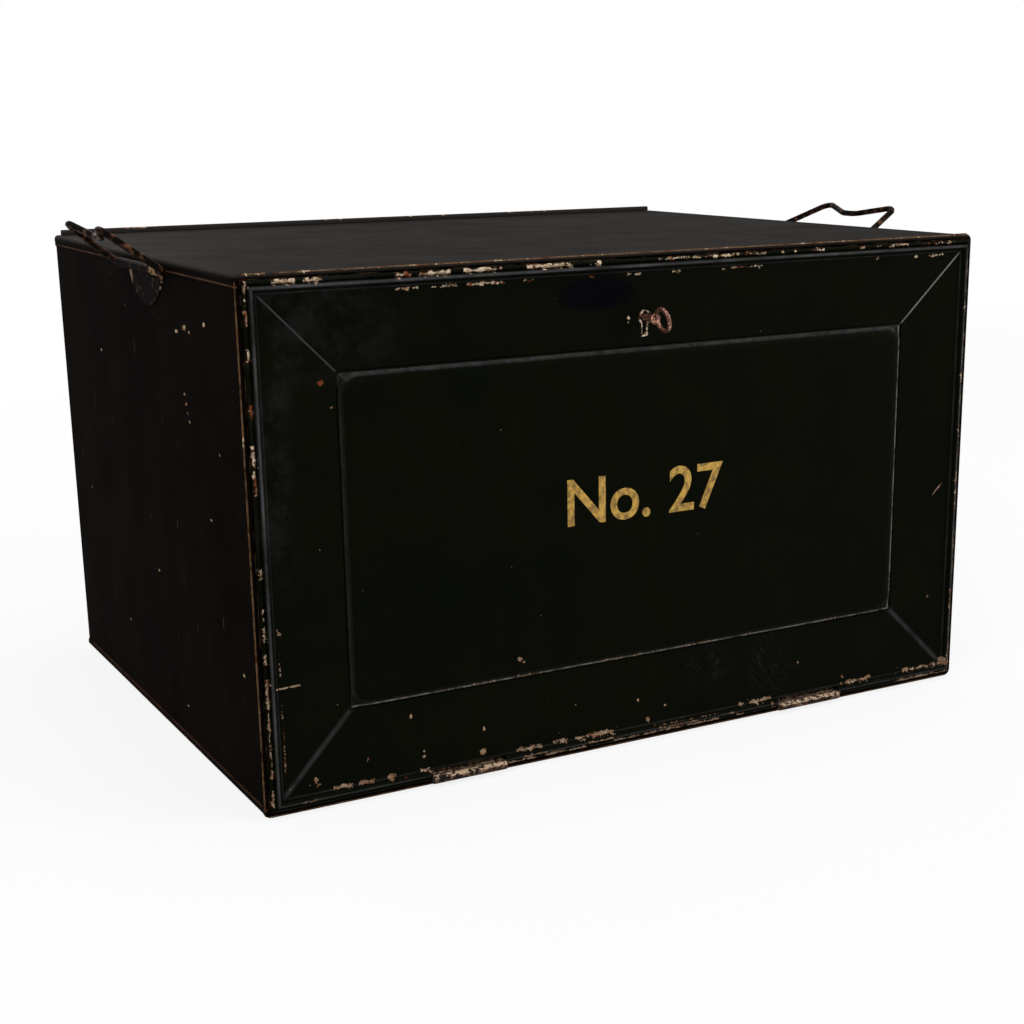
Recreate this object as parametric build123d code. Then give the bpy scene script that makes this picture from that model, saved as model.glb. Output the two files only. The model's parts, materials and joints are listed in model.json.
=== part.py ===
from build123d import *
import math
import os

# Japanned tinplate deed box with a mouldings-framed door on its front, hinged along the bottom edge.
# Millimetres, +Z up, origin on the floor under the middle of the case.
# X runs to the right and Y to the back, so the door faces -Y.

# ---- case ----
case_width = 580.0
case_depth = 450.0
case_height = 350.0
case_sheet = 0.9
wire_diameter = 3.2
wire_clearance = 0.05
edge_bend_radius = 3.0            # centre line of the wired edge where it turns a corner
edge_stands_proud = 1.1           # wired edge beyond the top and side sheets
corner_mitres = 3                 # creases in which the curled edge turns a corner
wire_flat_count = 8               # wires and their bends are kept to a section of this many flats
top_flange_depth = 8.0
bottom_flange_height = 7.0
back_fold_radius = 6.0
side_return_width = 14.0
hem_height = 4.1
hem_depth = 4.2
hem_gap = 0.3

# ---- door ----
door_sheet = 0.8
lip_outer_inset = 4.4             # insets are measured inwards from the outside of the case
lip_crest_inset = 6.0
lip_proud = 2.2
lip_foot_proud = 0.1
return_inset = 6.2
return_depth = 16.0
bead_inset = 9.6
bead_radius = 1.95
bead_proud = 5.2
crevice_proud = 0.9
cove_end_inset = 14.0
cove_end_proud = 1.6
cove_middle_along = 0.34          # shares of the cove's run and rise at the middle of its curve
cove_middle_rise = 0.26
border_end_inset = 63.2
border_end_proud = -2.8           # below zero lies behind the front plane of the case
field_proud = -0.8
field_inset = 70.5
field_corner_radius = 8.0
shoulder_foot_inset = 64.3
shoulder_edge_radius = 8.0
panel_flange_inset = 55.0
panel_seat_gap = 0.05

# ---- hinges ----
hinge_spread = 288.0
hinge_width = 55.0
hinge_axis_proud = 4.7
hinge_axis_height = 6.0
hinge_pin_diameter = 3.0
hinge_bore_clearance = 0.05
knuckle_radius = 3.3
knuckle_count = 3
knuckle_gap = 0.2
leaf_sheet = 0.9
leaf_end_gap = 0.8
leaf_air_gap = 0.3
fixed_leaf_reach = 15.0
moving_leaf_height = 11.5

# ---- lock ----
key_drop = 44.4                   # key axis below the top of the case
lock_width = 60.0
lock_height = 57.0
lock_depth = 12.0
lock_wall = 1.5
lock_seat_gap = 0.2
keyhole_diameter = 7.5
keyhole_slot_width = 3.4
keyhole_slot_drop = 12.0
bolt_thickness = 4.0
bolt_offset = 2.9                 # bolt behind the inside of the lock's front plate
bolt_body_width = 34.0
bolt_head_width = 18.0
bolt_shoulder_rise = 10.0
bolt_window_left = 5.0
bolt_window_right = 12.5
bolt_window_top = 5.0
bolt_window_bottom = 13.0
bolt_window_wall = 3.2
talon_left = 6.0
talon_drop = 6.4
bolt_throw = 8.0
bolt_slack = 1.3                  # the bolt's drop while the key comes upright for drawing out
bolt_top_clearance = 0.5
bolt_side_clearance = 0.5
stump_diameter = 4.0
stump_rise = 27.0
stump_clearance = 0.3
spring_thickness = 0.6
spring_width = 6.0
spring_length = 40.0
spring_clearance = 0.4
lock_rivet_diameter = 2.5
lock_rivet_inset = 5.0
lock_rivet_head = 0.6
keeper_sheet = 1.2
keeper_width = 50.0
keeper_depth = 12.0
keeper_leg_height = 3.4

# ---- key ----
key_turn_at_rest = 12.6           # degrees, the bow's top leaning left
shank_diameter = 5.2
shank_journal_clearance = 0.075
bow_centre_proud = 21.4
bow_radius = 7.7
bow_wire = 3.0
collar_diameter = 7.6
collar_length = 2.4
collar_proud = 10.6
bit_radius = 11.0
bit_thickness = 2.4
bit_width = 6.5
bit_offset = 1.6
ward_cut_depth = 3.2
ward_cut_width = 1.0

# ---- side handles ----
handle_setback = 189.0            # middle of each handle behind the front plane
handle_wire = 4.8
handle_clearance = 0.06
handle_axis_drop = 8.2
handle_axis_stand_off = 3.8
handle_half_span = 61.5
handle_end_inner = 34.0
hump_half_span = 44.0
hump_rise = 48.6
dip_half_width = 8.0
dip_rise = 33.6
leg_bend_radius = 6.0
hump_bend_radius = 9.0
dip_bend_radius = 22.0
handle_tilt_right = 24.0          # degrees above straight out, as the handles lie at rest
handle_tilt_left = 38.0
handle_sheet = 0.9
knuckle_half_length = 48.0
plate_half_chord = 39.0
plate_top_drop = 14.0
plate_bottom_drop = 35.0
plate_crease_drop = 11.5

cut_margin = 1.0                  # how far a cut runs past the face it opens

# ---- derived places ----
front_y = -case_depth / 2
back_y = case_depth / 2
side_x = case_width / 2
roll_bore = wire_diameter / 2 + wire_clearance
roll_radius = roll_bore + case_sheet
roll_y = front_y + roll_radius
wire_x = side_x - roll_radius
wire_top_z = case_height - roll_radius
wire_bottom_z = roll_radius
roll_back_y = roll_y + roll_radius
sheet_start_y = roll_y + roll_bore + case_sheet / 6
skin_x = side_x - edge_stands_proud
top_z = case_height - edge_stands_proud
wall_x = skin_x - case_sheet
fold_radius = roll_radius + edge_bend_radius - edge_stands_proud
fold_x = skin_x - fold_radius
top_fold_z = top_z - fold_radius
bottom_fold_z = fold_radius
flange_front_y = roll_back_y + 2 * wire_clearance
back_sheet_front_y = back_y - case_sheet
back_fold_y = back_sheet_front_y - back_fold_radius
back_fold_x = wall_x - back_fold_radius
door_inner_y = front_y + return_depth
pin_y = front_y - hinge_axis_proud
pin_z = hinge_axis_height
key_z = case_height - key_drop
lock_front_y = front_y - border_end_proud + 2 * door_sheet + lock_seat_gap
lock_inside_y = lock_front_y + lock_wall
lock_cap_y = lock_front_y + lock_depth - lock_wall
lock_top_z = case_height - return_inset - door_sheet - lock_seat_gap
lock_bottom_z = lock_top_z - lock_height
bolt_y = lock_inside_y + bolt_offset
keeper_z = case_height - edge_stands_proud - case_sheet
bolt_top_z = keeper_z - bolt_top_clearance - bolt_throw
handle_y = front_y + handle_setback
handle_z = case_height - handle_axis_drop
handle_x = skin_x + handle_axis_stand_off


def box_between(x_range, y_range, z_range):
    # Block between two places on each axis.
    size = [high - low for low, high in (x_range, y_range, z_range)]
    middle = [(high + low) / 2 for low, high in (x_range, y_range, z_range)]
    return Pos(*middle) * Box(*size)


def rod(radius, start, end):
    # Round bar from one point to another.
    line = Vector(*end) - Vector(*start)
    return Solid.make_cylinder(radius, line.length, Plane(origin=start, z_dir=line))


def along_x(profile, x_range):
    # A profile drawn in Y and Z, extruded from one place along X to another.
    low, high = x_range
    return extrude(Plane(origin=(low, 0, 0), x_dir=(0, 1, 0), z_dir=(1, 0, 0)) * profile, high - low)


def along_y(profile, y_range):
    # A profile drawn in X and Z, extruded from one place along Y to another.
    low, high = y_range
    return extrude(Plane(origin=(0, high, 0), x_dir=(1, 0, 0), z_dir=(0, -1, 0)) * profile, high - low)


def only_solid(shape):
    # The one solid of a finished piece.
    solids = shape.solids()
    if len(solids) != 1:
        raise ValueError(f"expected one solid, found {len(solids)}")
    return solids[0]


# case

def corner_bend(profile, side, z_place, turned_down):
    # A profile turned from one edge of the mouth to the next in a few creases.
    centre_x = side * (wire_x - edge_bend_radius)
    centre_z = z_place - turned_down * edge_bend_radius
    crease = math.pi / 2 / corner_mitres
    reach = edge_bend_radius / math.cos(crease / 2)
    places = [(centre_x, roll_y, z_place)]
    for index in range(corner_mitres):
        turn = crease * (index + 0.5)
        places.append((centre_x + side * reach * math.sin(turn), roll_y,
                       centre_z + turned_down * reach * math.cos(turn)))
    places.append((side * wire_x, roll_y, centre_z))
    start = Plane(origin=places[0], x_dir=(0, 1, 0), z_dir=(side, 0, 0))
    return sweep(start * profile, path=Polyline(*places), transition=Transition.RIGHT)


def along_mouth(profile, z_place, turned_down, straight):
    # A profile run along one edge of the mouth. straight is its section there, drawn in Y and Z.
    x_half = wire_x - edge_bend_radius
    body = along_x(straight, (-x_half, x_half))
    for side in (-1, 1):
        body += corner_bend(profile, side, z_place, turned_down)
    return body


def wired_edge(z_place, turned_down, web_start, web_z):
    # Sheet curled round the stiffening wire along the top or bottom of the mouth.
    ring = Circle(roll_radius) - Circle(roll_bore)
    web = Rectangle(flange_front_y - web_start, case_sheet)
    web = Pos((flange_front_y + web_start) / 2, web_z) * web
    bore = RegularPolygon(roll_bore, wire_flat_count, major_radius=False)
    bend = RegularPolygon(roll_radius, wire_flat_count) - bore
    return along_mouth(bend, z_place, turned_down, Pos(roll_y, z_place) * ring + web)


def channel(outer_z, flange_end_z, turned_down, y_range):
    # Flat sheet with a rounded fold and a flange along both sides, running front to back.
    corner_z = outer_z - turned_down * fold_radius
    section = Rectangle(2 * fold_x, case_sheet).moved(Pos(0, outer_z - turned_down * case_sheet / 2))
    for side in (-1, 1):
        ring = Circle(fold_radius) - Circle(fold_radius - case_sheet)
        quarter = Rectangle(fold_radius, fold_radius)
        quarter = Pos(side * fold_radius / 2, turned_down * fold_radius / 2) * quarter
        section += Pos(side * fold_x, corner_z) * (ring & quarter)
        flange = abs(corner_z - flange_end_z)
        middle = (corner_z + flange_end_z) / 2
        section += Pos(side * (skin_x - case_sheet / 2), middle) * Rectangle(case_sheet, flange)
    return along_y(section, y_range)


def plan_outline(radius_extra, y_front):
    # Outline of the case seen from above, with the back corners rounded.
    half = back_fold_x + back_fold_radius + radius_extra
    rear = back_fold_y + back_fold_radius + radius_extra
    outline = Pos(0, (y_front + rear) / 2) * Rectangle(2 * half, rear - y_front)
    return fillet(outline.vertices().group_by(Axis.Y)[-1], back_fold_radius + radius_extra)


def behind_flange_zone():
    # Everything beside the mouth's rounded side edges, where a flange would meet their curl.
    zones = []
    for side in (-1, 1):
        low, high = sorted((side * (wall_x - case_sheet), side * (side_x + case_sheet)))
        zones.append(box_between((low, high), (front_y, flange_front_y), (bottom_fold_z, top_fold_z)))
    return zones


def make_top_sheet():
    # Top with its wired front edge, folded side flanges and the upturned lip inside the rear hem.
    sheet = channel(top_z, top_z - top_flange_depth, 1, (sheet_start_y, back_y))
    sheet &= extrude(plan_outline(case_sheet, front_y), case_height)
    rear_cut = box_between((-back_fold_x, back_fold_x), (back_sheet_front_y, back_y + cut_margin),
                           (0, case_height))
    sheet -= rear_cut
    for zone in behind_flange_zone():
        sheet -= zone
    flange_stop = (back_fold_y, back_y + cut_margin)
    for side in (-1, 1):
        low, high = sorted((side * fold_x, side * (side_x + cut_margin)))
        sheet -= box_between((low, high), flange_stop, (0, top_fold_z))
    lip_x = back_fold_x - wire_clearance
    lip_y = (back_sheet_front_y - case_sheet, back_sheet_front_y)
    sheet += box_between((-lip_x, lip_x), lip_y, (top_z - case_sheet, top_z + hem_height - hem_depth / 2))
    sheet += wired_edge(wire_top_z, 1, sheet_start_y, top_z - case_sheet / 2)
    return only_solid(sheet)


def make_bottom_sheet():
    # Bottom with its wired front edge and upturned side flanges.
    sheet = channel(0, bottom_flange_height, -1, (flange_front_y, back_y))
    sheet &= extrude(plan_outline(case_sheet, front_y), case_height)
    for side in (-1, 1):
        low, high = sorted((side * fold_x, side * (side_x + cut_margin)))
        sheet -= box_between((low, high), (back_fold_y, back_y + cut_margin), (bottom_fold_z, case_height))
    sheet += wired_edge(wire_bottom_z, -1, roll_y + case_sheet, case_sheet / 2)
    return only_solid(sheet)


def make_side_sheet(side):
    # Side with its wired front edge and the rounded fold that laps inside the back.
    z_range = (bottom_fold_z, top_fold_z)
    height = z_range[1] - z_range[0]
    flat = Pos(wall_x - case_sheet / 2, (sheet_start_y + back_fold_y) / 2)
    plan = flat * Rectangle(case_sheet, back_fold_y - sheet_start_y)
    ring = Circle(back_fold_radius) - Circle(back_fold_radius - case_sheet)
    quarter = Pos(back_fold_radius / 2, back_fold_radius / 2) * Rectangle(back_fold_radius, back_fold_radius)
    plan += Pos(back_fold_x, back_fold_y) * (ring & quarter)
    lap = Pos(back_fold_x - side_return_width / 2, back_sheet_front_y - case_sheet / 2)
    plan += lap * Rectangle(side_return_width, case_sheet)
    sheet = Pos(0, 0, z_range[0]) * extrude(plan, height)
    curl_low = wire_bottom_z + edge_bend_radius
    curl_high = wire_top_z - edge_bend_radius
    sheet -= box_between((back_fold_x, side_x), (front_y, flange_front_y), (0, curl_low))
    curl = rod(roll_radius, (wire_x, roll_y, curl_low), (wire_x, roll_y, curl_high))
    curl -= rod(roll_bore, (wire_x, roll_y, curl_low), (wire_x, roll_y, curl_high))
    sheet = only_solid(sheet + curl)
    return sheet if side > 0 else only_solid(mirror(sheet, Plane.YZ))


def make_back_sheet():
    # Back, rolled forwards along its top over the lip of the top sheet.
    hem_y = back_y - hem_depth / 2
    hem_z = top_z + hem_height - hem_depth / 2
    section = Pos(back_y - case_sheet / 2, (case_sheet + hem_z) / 2) * Rectangle(case_sheet, hem_z - case_sheet)
    ring = Circle(hem_depth / 2) - Circle(hem_depth / 2 - case_sheet)
    upper_half = Pos(0, hem_depth / 2) * Rectangle(2 * hem_depth, hem_depth)
    section += Pos(hem_y, hem_z) * (ring & upper_half)
    leg_low = top_z + hem_gap
    leg = Pos(back_y - hem_depth + case_sheet / 2, (leg_low + hem_z) / 2)
    section += leg * Rectangle(case_sheet, hem_z - leg_low)
    return only_solid(along_x(section, (-back_fold_x, back_fold_x)))


def make_front_edge_wire():
    # Closed loop of wire inside the rolled edges round the mouth.
    section = RegularPolygon(wire_diameter / 2, wire_flat_count)
    loop = along_mouth(section, wire_top_z, 1, Pos(roll_y, wire_top_z) * section)
    loop += along_mouth(section, wire_bottom_z, -1, Pos(roll_y, wire_bottom_z) * section)
    low = wire_bottom_z + edge_bend_radius
    high = wire_top_z - edge_bend_radius
    for side in (-1, 1):
        upright = Plane(origin=(side * wire_x, roll_y, low), x_dir=(0, 1, 0), z_dir=(0, 0, 1)) * section
        loop += extrude(upright, high - low)
    return only_solid(loop)


def bolt_slot(clearance, z_range):
    # Space that the bolt's head passes through.
    half = bolt_head_width / 2 + clearance
    return box_between((-half, half), (bolt_y - clearance, bolt_y + bolt_thickness + clearance), z_range)


def make_keeper_plate():
    # Slotted angle under the top, which the thrown bolt stands behind.
    leg_y = bolt_y - bolt_side_clearance - keeper_sheet
    plate = box_between((-keeper_width / 2, keeper_width / 2), (leg_y, leg_y + keeper_depth),
                        (keeper_z - keeper_sheet, keeper_z))
    leg = box_between((-keeper_width / 2, keeper_width / 2), (leg_y, leg_y + keeper_sheet),
                      (keeper_z - keeper_leg_height, keeper_z))
    slot = bolt_slot(bolt_side_clearance, (keeper_z - 2 * keeper_leg_height, keeper_z))
    return only_solid(plate + leg - slot)


# door

def border_proud(inset):
    # Front of the sloping border above the front plane, at an inset from the outside of the case.
    share = (inset - cove_end_inset) / (border_end_inset - cove_end_inset)
    return cove_end_proud + share * (border_end_proud - cove_end_proud)


def moulding_section():
    # Section of the door's frame: inset from the outside of the case, and height above the front plane.
    with BuildSketch() as section:
        with BuildLine():
            return_end = (return_inset, -return_depth)
            foot = (return_inset, lip_foot_proud - 2 * panel_seat_gap)
            lip_tip = (lip_outer_inset, lip_foot_proud)
            crest = (lip_crest_inset, lip_proud)
            crevice = (bead_inset - bead_radius, crevice_proud)
            bead_rise = (bead_inset - bead_radius, bead_proud - bead_radius)
            bead_top = (bead_inset, bead_proud)
            bead_fall = (bead_inset + bead_radius, bead_proud - bead_radius)
            cove_middle = (bead_fall[0] + (cove_end_inset - bead_fall[0]) * cove_middle_along,
                           cove_end_proud + (bead_fall[1] - cove_end_proud) * cove_middle_rise)
            cove_end = (cove_end_inset, cove_end_proud)
            border_end = (border_end_inset, border_end_proud)
            Polyline(return_end, foot, lip_tip)
            ThreePointArc(lip_tip, crest, crevice)
            Line(crevice, bead_rise)
            ThreePointArc(bead_rise, bead_top, bead_fall)
            ThreePointArc(bead_fall, cove_middle, cove_end)
            Line(cove_end, border_end)
            back_end = (border_end_inset, border_end_proud - door_sheet)
            back_start = (cove_end_inset, cove_end_proud - door_sheet)
            hollow_half = bead_radius - door_sheet
            hollow_right = (bead_inset + hollow_half, bead_rise[1])
            hollow_left = (bead_inset - hollow_half, bead_rise[1])
            Polyline(border_end, back_end, back_start, (hollow_right[0], back_start[1]), hollow_right)
            ThreePointArc(hollow_right, (bead_inset, bead_proud - door_sheet), hollow_left)
            return_inner = return_inset + door_sheet
            Polyline(hollow_left, (hollow_left[0], back_start[1]), (return_inner, crevice_proud - door_sheet),
                     (return_inner, -return_depth), return_end)
        make_face()
    return section.sketch


def frame_member(half_length, outer_edge):
    # One side of the frame, lying along X with its mitred ends, as the top member before it is turned.
    # Local Z is towards the outside of the case and -Y is the front.
    section = moulding_section()
    place = Plane(origin=(half_length, front_y, outer_edge), x_dir=(0, 0, -1), z_dir=(-1, 0, 0))
    member = extrude(place * section, 2 * half_length)
    deep = border_end_inset + door_sheet
    mitre = Plane.XZ * Polygon((-half_length, outer_edge), (half_length, outer_edge),
                               (half_length - deep, outer_edge - deep), (-half_length + deep, outer_edge - deep),
                               align=None)
    cutter = Pos(0, front_y, 0) * extrude(mitre, 2 * return_depth, both=True)
    return only_solid(member & cutter)


def centred_member(along, across, turn):
    # A member turned about the middle of the door to its own side.
    member = frame_member(along / 2, across / 2)
    return Pos(0, 0, case_height / 2) * Rot(0, turn, 0) * member


def keyhole_profile():
    # Round hole with the slot for the key's bit below it.
    slot = Pos(0, -keyhole_slot_drop / 2) * Rectangle(keyhole_slot_width, keyhole_slot_drop)
    slot = fillet(slot.vertices().group_by(Axis.Y)[0], keyhole_slot_width / 2 - panel_seat_gap)
    return Circle(keyhole_diameter / 2) + slot


def keyhole_cutter(y_range):
    return along_y(Pos(0, key_z) * keyhole_profile(), y_range)


def make_top_rail():
    rail = centred_member(case_width, case_height, 0)
    rail -= keyhole_cutter((front_y - return_depth, door_inner_y))
    rail -= bolt_slot(bolt_side_clearance, (case_height - 2 * return_inset, case_height))
    return only_solid(rail)


def hinge_x(side):
    return side * hinge_spread / 2


def make_bottom_rail():
    # The lip and the bead are cut away where the two hinges stand.
    rail = centred_member(case_width, case_height, 180)
    half = hinge_width / 2 + leaf_end_gap
    notch_top = bead_inset + bead_radius + leaf_air_gap
    notch_back = pin_y + knuckle_radius + leaf_sheet
    for side in (-1, 1):
        middle = hinge_x(side)
        rail -= box_between((middle - half, middle + half), (front_y - return_depth, notch_back),
                            (0, notch_top))
        rail -= box_between((middle - half, middle + half), (front_y - return_depth, door_inner_y),
                            (0, return_inset))
    return only_solid(rail)


def make_stile(side):
    return only_solid(centred_member(case_height, case_width, 90 * side))


def framed_rectangle(inset, radius):
    outline = Rectangle(case_width - 2 * inset, case_height - 2 * inset)
    return fillet(outline.vertices(), radius) if radius else outline


def raised_body(drop):
    # Raised field with its sloping shoulder, set in on every side by a given amount.
    foot_y = front_y - border_end_proud + drop
    field_y = front_y - field_proud + drop
    flange_y = foot_y + door_sheet + panel_seat_gap + drop
    foot_inset = shoulder_foot_inset + drop
    widening = field_inset - foot_inset
    front = Plane.XZ.offset(-foot_y) * framed_rectangle(foot_inset, field_corner_radius + widening)
    face = Plane.XZ.offset(-field_y) * framed_rectangle(field_inset, field_corner_radius)
    shoulder = loft([front, face], ruled=True)
    base = extrude(front, -(flange_y - foot_y))
    return shoulder + base


def make_door_panel():
    flange_front = front_y - border_end_proud + door_sheet + panel_seat_gap
    outline = Plane.XZ.offset(-flange_front) * framed_rectangle(panel_flange_inset, 0)
    panel = extrude(outline, -door_sheet)
    outer = raised_body(0)
    rim = outer.faces().sort_by(Axis.Y)[0].edges()
    outer = fillet(rim, shoulder_edge_radius)
    panel = panel + outer - raised_body(door_sheet)
    return only_solid(Pos(0, 0, case_height / 2) * panel)


# hinges

def knuckle_spans(own):
    # The stretches of barrel that belong to one leaf: own is 0 for the fixed leaf, 1 for the door's.
    pitch = hinge_width / knuckle_count
    spans = []
    for index in range(own, knuckle_count, 2):
        low = -hinge_width / 2 + index * pitch + knuckle_gap / 2
        spans.append((low, low + pitch - knuckle_gap))
    return spans


def hinge_leaf(own, strap_z, main_strap):
    # A leaf with its knuckles: each has a tongue of strap at strap_z that joins the full-width strap.
    leaf = main_strap
    bore_radius = hinge_pin_diameter / 2 + hinge_bore_clearance
    tongue_y = (pin_y + bore_radius + leaf_air_gap, pin_y + knuckle_radius + 2 * leaf_sheet)
    for low, high in knuckle_spans(own):
        leaf += rod(knuckle_radius, (low, pin_y, pin_z), (high, pin_y, pin_z))
        start = pin_y if strap_z[0] > pin_z + bore_radius else tongue_y[0]
        leaf += box_between((low, high), (start, tongue_y[1]), strap_z)
    bore = rod(bore_radius, (-hinge_width, pin_y, pin_z), (hinge_width, pin_y, pin_z))
    return leaf - bore


def make_fixed_leaf(side):
    # Leaf that passes over the rolled bottom edge and down to the bottom sheet inside.
    width = (-hinge_width / 2, hinge_width / 2)
    strap_low = 2 * roll_radius + wire_clearance
    strap_z = (strap_low, strap_low + leaf_sheet)
    step_y = (roll_back_y + leaf_air_gap, roll_back_y + leaf_air_gap + leaf_sheet)
    strap = box_between(width, (pin_y + knuckle_radius + leaf_air_gap, step_y[1]), strap_z)
    strap += box_between(width, step_y, (case_sheet, strap_z[1]))
    strap += box_between(width, (step_y[0], step_y[1] + fixed_leaf_reach), (case_sheet, case_sheet + leaf_sheet))
    return only_solid(Pos(hinge_x(side), 0, 0) * hinge_leaf(0, strap_z, strap))


def make_moving_leaf(side):
    # Leaf that leaves the top of the barrel and turns up behind the door's border.
    width = (-hinge_width / 2, hinge_width / 2)
    strap_z = (pin_z + knuckle_radius - leaf_sheet, pin_z + knuckle_radius)
    top = strap_z[0] + moving_leaf_height
    upright_y = front_y - border_proud(top) + door_sheet + panel_seat_gap
    strap = box_between(width, (pin_y + knuckle_radius + leaf_air_gap, upright_y + leaf_sheet), strap_z)
    strap += box_between(width, (upright_y, upright_y + leaf_sheet), (strap_z[0], top))
    return only_solid(Pos(hinge_x(side), 0, 0) * hinge_leaf(1, strap_z, strap))


def make_hinge_pin(side):
    middle = hinge_x(side)
    half = hinge_width / 2
    return rod(hinge_pin_diameter / 2, (middle - half, pin_y, pin_z), (middle + half, pin_y, pin_z))


# lock and key

def lock_rivet_places():
    # Opposite corners of the lock.
    x = lock_width / 2 - lock_rivet_inset
    return [(-x, lock_top_z - lock_rivet_inset), (x, lock_bottom_z + lock_rivet_inset)]


def lock_rivet_rods(y_range, radius):
    return [rod(radius, (x, y_range[0], z), (x, y_range[1], z)) for x, z in lock_rivet_places()]


def make_lock_case():
    half = lock_width / 2
    case = box_between((-half, half), (lock_front_y, lock_cap_y), (lock_bottom_z, lock_top_z))
    case -= box_between((-half + lock_wall, half - lock_wall), (lock_inside_y, lock_cap_y),
                        (lock_bottom_z + lock_wall, lock_top_z - lock_wall))
    case -= keyhole_cutter((lock_front_y - lock_wall, lock_inside_y))
    case -= bolt_slot(bolt_side_clearance, (lock_top_z - 2 * lock_wall, lock_top_z))
    for hole in lock_rivet_rods((lock_front_y, lock_cap_y), lock_rivet_diameter / 2):
        case -= hole
    return only_solid(case)


def make_lock_cap():
    # Back of the lock, with the hole that the tip of the key turns in.
    half = lock_width / 2
    cap = box_between((-half, half), (lock_cap_y, lock_cap_y + lock_wall), (lock_bottom_z, lock_top_z))
    journal = shank_diameter / 2 + shank_journal_clearance
    cap -= rod(journal, (0, lock_cap_y, key_z), (0, lock_cap_y + lock_wall, key_z))
    for hole in lock_rivet_rods((lock_cap_y, lock_cap_y + lock_wall), lock_rivet_diameter / 2):
        cap -= hole
    return only_solid(cap)


def make_lock_rivets():
    y_range = (lock_front_y, lock_cap_y + lock_wall + lock_rivet_head)
    return Compound(lock_rivet_rods(y_range, lock_rivet_diameter / 2))


def make_lock_stump():
    # Post that the bolt slides on.
    z = key_z + stump_rise
    return rod(stump_diameter / 2, (0, lock_inside_y, z), (0, lock_cap_y, z))


def make_lock_bolt():
    # Sliding bolt with the window that the key's bit works in.
    window_low = key_z - bolt_window_bottom
    body = box_between((-bolt_body_width / 2, bolt_body_width / 2), (bolt_y, bolt_y + bolt_thickness),
                       (window_low - bolt_window_wall, key_z + bolt_shoulder_rise))
    head = box_between((-bolt_head_width / 2, bolt_head_width / 2), (bolt_y, bolt_y + bolt_thickness),
                       (key_z, bolt_top_z))
    bolt = body + head
    through = (bolt_y - 1, bolt_y + bolt_thickness + 1)
    bolt -= box_between((-bolt_window_left, talon_left), through, (window_low, key_z + bolt_window_top))
    bolt -= box_between((talon_left, bolt_window_right), through, (window_low, key_z - talon_drop))
    slot_half = stump_diameter / 2 + stump_clearance
    slot_low = key_z + stump_rise - bolt_throw - slot_half
    slot_high = key_z + stump_rise + bolt_slack + slot_half
    bolt -= box_between((-slot_half, slot_half), through, (slot_low, slot_high))
    return only_solid(bolt)


def make_lock_spring():
    # Bowed flat spring beside the bolt.
    wall = -lock_width / 2 + lock_wall
    crown = -bolt_body_width / 2 - spring_clearance
    low = lock_bottom_z + lock_wall + 2 * lock_rivet_inset
    high = low + spring_length
    middle = (low + high) / 2
    with BuildSketch() as bow:
        with BuildLine():
            ThreePointArc((wall, low), (crown, middle), (wall, high))
            Line((wall, high), (wall, high - 2 * spring_thickness))
            ThreePointArc((wall, high - 2 * spring_thickness), (crown - spring_thickness, middle),
                          (wall, low + 2 * spring_thickness))
            Line((wall, low + 2 * spring_thickness), (wall, low))
        make_face()
    spring_y = bolt_y + bolt_thickness / 2 - spring_width / 2
    return only_solid(along_y(bow.sketch, (spring_y, spring_y + spring_width)))


def make_key():
    # Ring bow, collared shank and a flat bit, turned as it stands in the lock.
    bow_y = front_y - bow_centre_proud
    shank_start = bow_y + bow_radius
    shank_end = lock_cap_y + lock_wall
    bow_section = Plane.XY * Pos(0, bow_y + bow_radius) * RegularPolygon(bow_wire / 2, wire_flat_count)
    bow = revolve(bow_section, Axis((0, bow_y, 0), (1, 0, 0)))
    shank = rod(shank_diameter / 2, (0, shank_start, 0), (0, shank_end, 0))
    collar_y = front_y - collar_proud
    collar = rod(collar_diameter / 2, (0, collar_y - collar_length, 0), (0, collar_y, 0))
    collar = chamfer(collar.edges().filter_by(GeomType.CIRCLE), collar_length / 4)
    bit_y = lock_inside_y + bit_offset
    bit = box_between((-bit_thickness / 2, bit_thickness / 2), (bit_y, bit_y + bit_width), (-bit_radius, 0))
    cut_y = bit_y + (bit_width - ward_cut_width) / 2
    bit -= box_between((-bit_thickness, bit_thickness), (cut_y, cut_y + ward_cut_width),
                       (-bit_radius, -bit_radius + ward_cut_depth))
    key = only_solid(bow + shank + collar + bit)
    return only_solid(Pos(0, 0, key_z) * Rot(0, -key_turn_at_rest, 0) * key)


# side handles

def bail_path():
    # Centre line of the handle: X is along the side of the case, Y is out from the pivot.
    half = [(handle_end_inner, 0), (handle_half_span, 0), (hump_half_span, hump_rise),
            (dip_half_width, dip_rise)]
    points = [(-x, y) for x, y in half] + [(x, y) for x, y in reversed(half)]
    bends = [leg_bend_radius, hump_bend_radius, dip_bend_radius]
    radii = [0] + bends + list(reversed(bends)) + [0]
    return FilletPolyline(*points, radius=radii[1:-1])


def make_handle(side, tilt):
    path = bail_path()
    start = Plane(origin=path @ 0, z_dir=path % 0)
    bail = sweep(start * RegularPolygon(handle_wire / 2, wire_flat_count), path=path)
    upright = Rot(0, 0, 90) * bail
    turned = Rot(0, -tilt, 0) * Rot(0, 0, -180) * upright
    placed = Pos(handle_x, handle_y, handle_z) * turned
    placed = only_solid(placed)
    return placed if side > 0 else only_solid(mirror(placed, Plane.YZ))


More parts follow.
